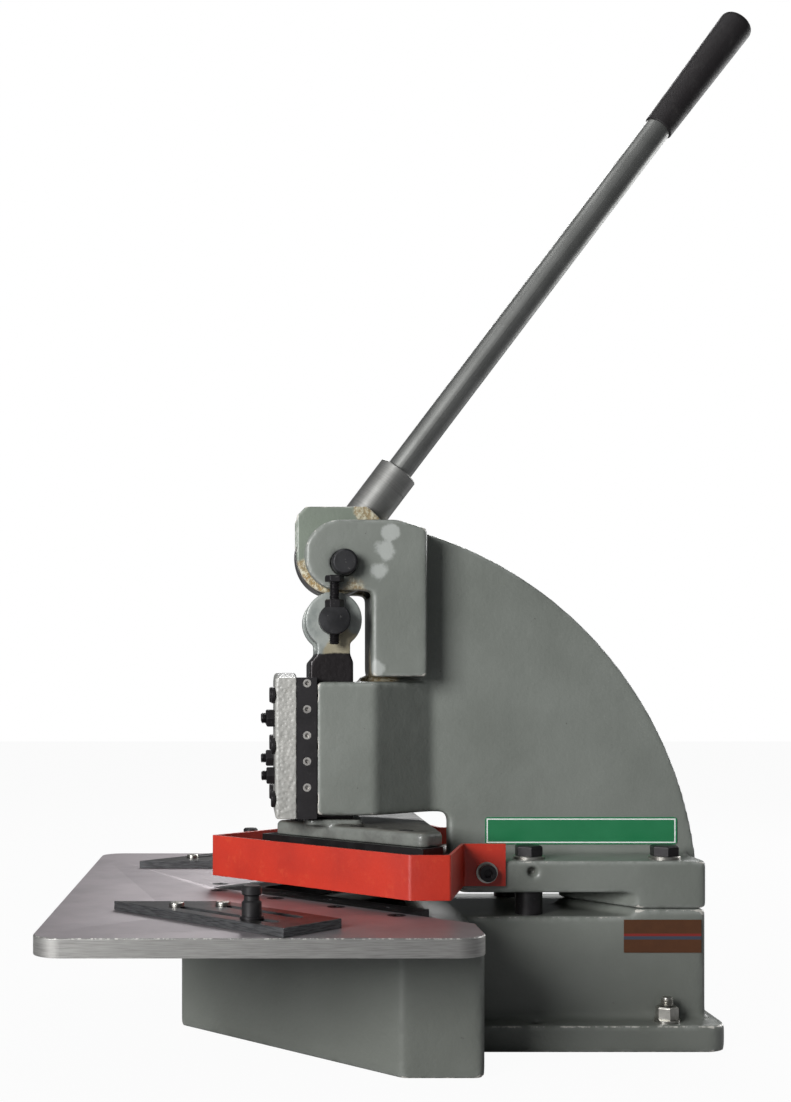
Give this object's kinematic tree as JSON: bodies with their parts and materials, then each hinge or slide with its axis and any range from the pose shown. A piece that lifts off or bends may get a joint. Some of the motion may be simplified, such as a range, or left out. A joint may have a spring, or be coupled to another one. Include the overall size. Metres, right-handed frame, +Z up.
{
  "type": "bench corner notcher",
  "caption": "Hand-lever bench shear that cuts square corner notches in sheet metal; a cam pushes a guided ram with blades past fixed blades set in a table.",
  "frame": {"origin": "on the floor, midway between the two front bench bolt holes of the foot flange", "axes": "+Z up, -Y towards the operator, table and blades; the lever swings in the YZ plane and +X is to the operator's right"},
  "size_m": [0.6, 0.6758, 1.0109],
  "materials": {
    "casting_paint": "satin grey-green enamel on rough castings",
    "light_paint": "light grey textured enamel",
    "guard_paint": "satin red-orange enamel",
    "table_steel": "ground steel plate with bright edges",
    "fence_steel": "dark ground steel",
    "lever_steel": "satin turned steel",
    "black_steel": "oiled black oxide",
    "bright_steel": "zinc plated washers and screws",
    "bronze": "bearing bronze",
    "grip_rubber": "moulded black rubber",
    "label_green": "plain green plate with a white border",
    "data_copper": "plain brown plate with coloured stripes"
  },
  "bodies": {
    "frame": {"base_casting": "casting_paint", "foot_studs": "bright_steel", "foot_washers": "bright_steel", "foot_nuts": "bright_steel", "table_plate": "table_steel", "table_screws": "black_steel", "lower_blade_right": "black_steel", "lower_blade_left": "black_steel", "lower_blade_screws": "black_steel", "frame_casting": "casting_paint", "frame_washers": "bright_steel", "frame_bolts": "black_steel", "frame_spacers": "black_steel", "gib_side_strips": "black_steel", "gib_strip_screws": "black_steel", "gib_plate": "black_steel", "gib_cover": "light_paint", "gib_bolts": "black_steel", "gib_adjusters": "black_steel", "gib_lock_nuts": "black_steel", "pivot_pin": "black_steel", "blade_guard": "guard_paint", "guard_washers": "bright_steel", "guard_screws": "black_steel", "fence_screws": "bright_steel", "label_plate": "label_green", "data_plate": "data_copper"},
    "ram": {"ram": "black_steel", "ram_shoe": "casting_paint", "shoe_screws": "black_steel", "upper_blade_right": "black_steel", "upper_blade_left": "black_steel", "upper_blade_screws": "black_steel", "roller_pin": "black_steel", "stop_bolt": "black_steel", "stop_nut": "black_steel", "return_spring": "black_steel"},
    "roller": {"roller": "lever_steel", "roller_bush": "bronze"},
    "lever": {"cam_block": "lever_steel", "hub_cheek_right": "casting_paint", "hub_cheek_left": "casting_paint", "pivot_bush": "bronze", "collar": "lever_steel", "lever_tube": "lever_steel", "grip": "grip_rubber"},
    "fence_right": {"fence_right": "fence_steel"},
    "fence_left": {"fence_left": "fence_steel"},
    "clamp_right": {"clamp_knob_right": "black_steel", "clamp_washer_right": "black_steel"},
    "clamp_left": {"clamp_knob_left": "black_steel", "clamp_washer_left": "black_steel"}
  },
  "joints": [
    {"name": "lever_swing", "type": "hinge", "parent": "frame", "child": "lever", "pos_m": [0, -0.1753, 0.458], "axis": [1, 0, 0], "range_deg": [0, 100]},
    {"name": "ram_slide", "type": "slide", "parent": "frame", "child": "ram", "axis": [0, 0, -1], "range_m": [0, 0.0181], "deforming": ["return_spring"]},
    {"name": "roller_spin", "type": "hinge", "parent": "ram", "child": "roller", "pos_m": [0, -0.185, 0.403], "axis": [1, 0, 0], "continuous": true},
    {"name": "fence_right_slide", "type": "slide", "parent": "frame", "child": "fence_right", "axis": [0.7071, 0.7071, 0], "range_m": [-0.022, 0.002]},
    {"name": "fence_left_slide", "type": "slide", "parent": "frame", "child": "fence_left", "axis": [-0.7071, 0.7071, 0], "range_m": [-0.022, 0.002]},
    {"name": "clamp_right_turn", "type": "hinge", "parent": "frame", "child": "clamp_right", "pos_m": [0.24954, -0.26497, 0.146], "axis": [0, 0, 1], "range_deg": [0, 180]},
    {"name": "clamp_left_turn", "type": "hinge", "parent": "frame", "child": "clamp_left", "pos_m": [-0.24954, -0.26497, 0.146], "axis": [0, 0, 1], "range_deg": [0, 180]}
  ],
  "couplings": [
    {"joint": "ram_slide", "follows": "lever_swing", "m_per_rad": 0.010313}
  ]
}
